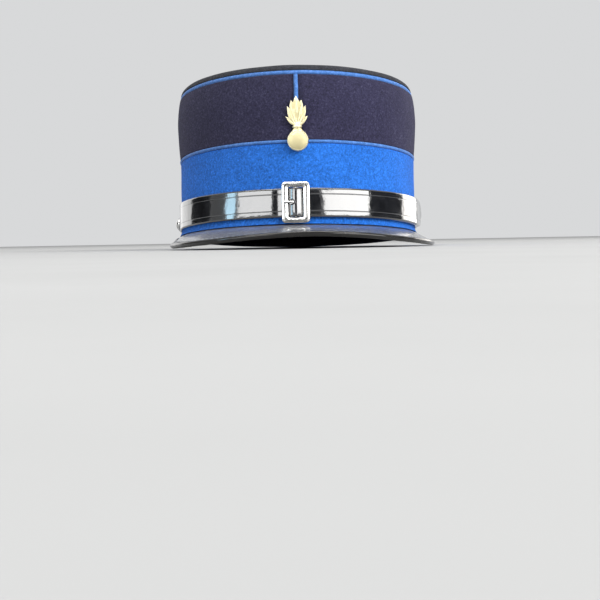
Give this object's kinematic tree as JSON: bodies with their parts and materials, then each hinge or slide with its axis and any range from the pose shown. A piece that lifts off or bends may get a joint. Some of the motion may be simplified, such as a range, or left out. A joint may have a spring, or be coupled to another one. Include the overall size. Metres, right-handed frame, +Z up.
{
  "type": "kepi",
  "caption": "Stiff cloth kepi with a flat top, piped two-tone blue crown, patent leather peak, buckled front strap and a flaming grenade badge.",
  "frame": {"origin": "on the ground under the middle of the hat's own box, the hat resting on its peak and the back of its rim", "axes": "+X to the wearer's left, +Y to the back of the hat, +Z up; the peak points to -Y"},
  "size_m": [0.1878, 0.263, 0.1232],
  "materials": {
    "navy_cloth": "dark navy felted wool cloth",
    "black_cloth": "near-black felted wool cloth",
    "blue_cloth": "cornflower blue felted wool cloth",
    "blue_piping": "blue cloth over a round cord",
    "patent_leather": "black patent leather, high gloss, finely crackled on the peak",
    "bound_edge": "rolled black patent leather edge",
    "nickel": "polished nickel, slightly worn",
    "pale_brass": "pale stamped brass, satin with brighter edges"
  },
  "bodies": {
    "root": {"crown_shell": "navy_cloth", "crown_top": "black_cloth", "top_piping": "blue_piping", "front_piping": "blue_piping", "band": "blue_cloth", "band_piping": "blue_piping", "peak": "patent_leather", "peak_binding": "bound_edge", "strap_long": "patent_leather", "strap_short": "patent_leather", "buckle_frame": "nickel", "buckle_prong": "nickel", "button_left": "nickel", "button_right": "nickel", "badge": "pale_brass"}
  },
  "joints": []
}
